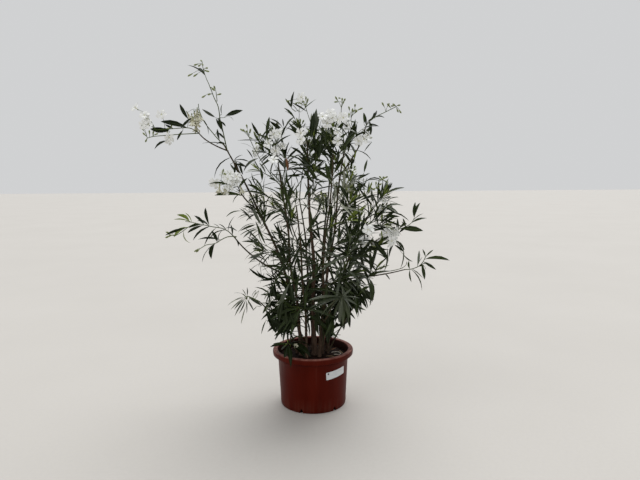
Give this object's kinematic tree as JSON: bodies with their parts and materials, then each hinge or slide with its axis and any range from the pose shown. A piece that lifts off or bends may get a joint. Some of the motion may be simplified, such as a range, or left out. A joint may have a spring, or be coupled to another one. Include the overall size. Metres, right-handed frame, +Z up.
{
  "type": "potted oleander",
  "caption": "White-flowering oleander shrub: slender canes fan from a round rolled-rim nursery pot into a loose, leafy crown with long outlying shoots.",
  "frame": {"origin": "centre of the pot's flat underside, on the surface that the pot stands on", "axes": "+Z up, +X to the plant's right and +Y to its back as seen from its front, where the label shows right of the middle of the pot"},
  "size_m": [1.496, 0.9384, 1.668],
  "materials": {
    "pot": "satin",
    "potting_soil": "matte",
    "label": "satin",
    "bark": "matte",
    "foliage": "satin"
  },
  "bodies": {
    "root": {"bough_back_left_spray": "bark", "bough_back_right_spray": "bark", "bough_far_left": "bark", "bough_left_flower": "bark", "bough_left_spray": "bark", "bough_low_left_spray": "bark", "bough_low_right_spray": "bark", "bough_right_spray": "bark", "bough_rosette": "bark", "bough_top_right_spray": "bark", "cane_back_left": "bark", "cane_back_right": "bark", "cane_centre": "bark", "cane_far_right": "bark", "cane_front_left": "bark", "cane_front_right": "bark", "cane_low_left": "bark", "cane_low_right": "bark", "cane_sucker": "bark", "cane_tall_left": "bark", "cane_top_left": "bark", "cane_top_right": "bark", "foliage_low_back": "foliage", "foliage_low_front_left": "foliage", "foliage_low_left": "foliage", "foliage_low_right": "foliage", "foliage_middle_back_left": "foliage", "foliage_middle_back_right": "foliage", "foliage_middle_core": "foliage", "foliage_middle_front_left": "foliage", "foliage_middle_front_right": "foliage", "foliage_middle_left": "foliage", "foliage_middle_right": "foliage", "foliage_top_back": "foliage", "foliage_top_centre": "foliage", "foliage_top_front": "foliage", "foliage_top_left": "foliage", "foliage_top_right": "foliage", "foliage_upper_back_left": "foliage", "foliage_upper_back_right": "foliage", "foliage_upper_core": "foliage", "foliage_upper_front_left": "foliage", "foliage_upper_front_right": "foliage", "foliage_upper_left": "foliage", "foliage_upper_right": "foliage", "pot": "pot", "pot_label": "label", "potting_soil": "potting_soil", "spray_back_left": "foliage", "spray_back_right": "foliage", "spray_far_left": "foliage", "spray_left": "foliage", "spray_left_flower": "foliage", "spray_low_left": "foliage", "spray_low_right": "foliage", "spray_right": "foliage", "spray_rosette": "foliage", "spray_sucker": "foliage", "spray_tall_left": "foliage", "spray_top_right": "foliage"}
  },
  "joints": []
}
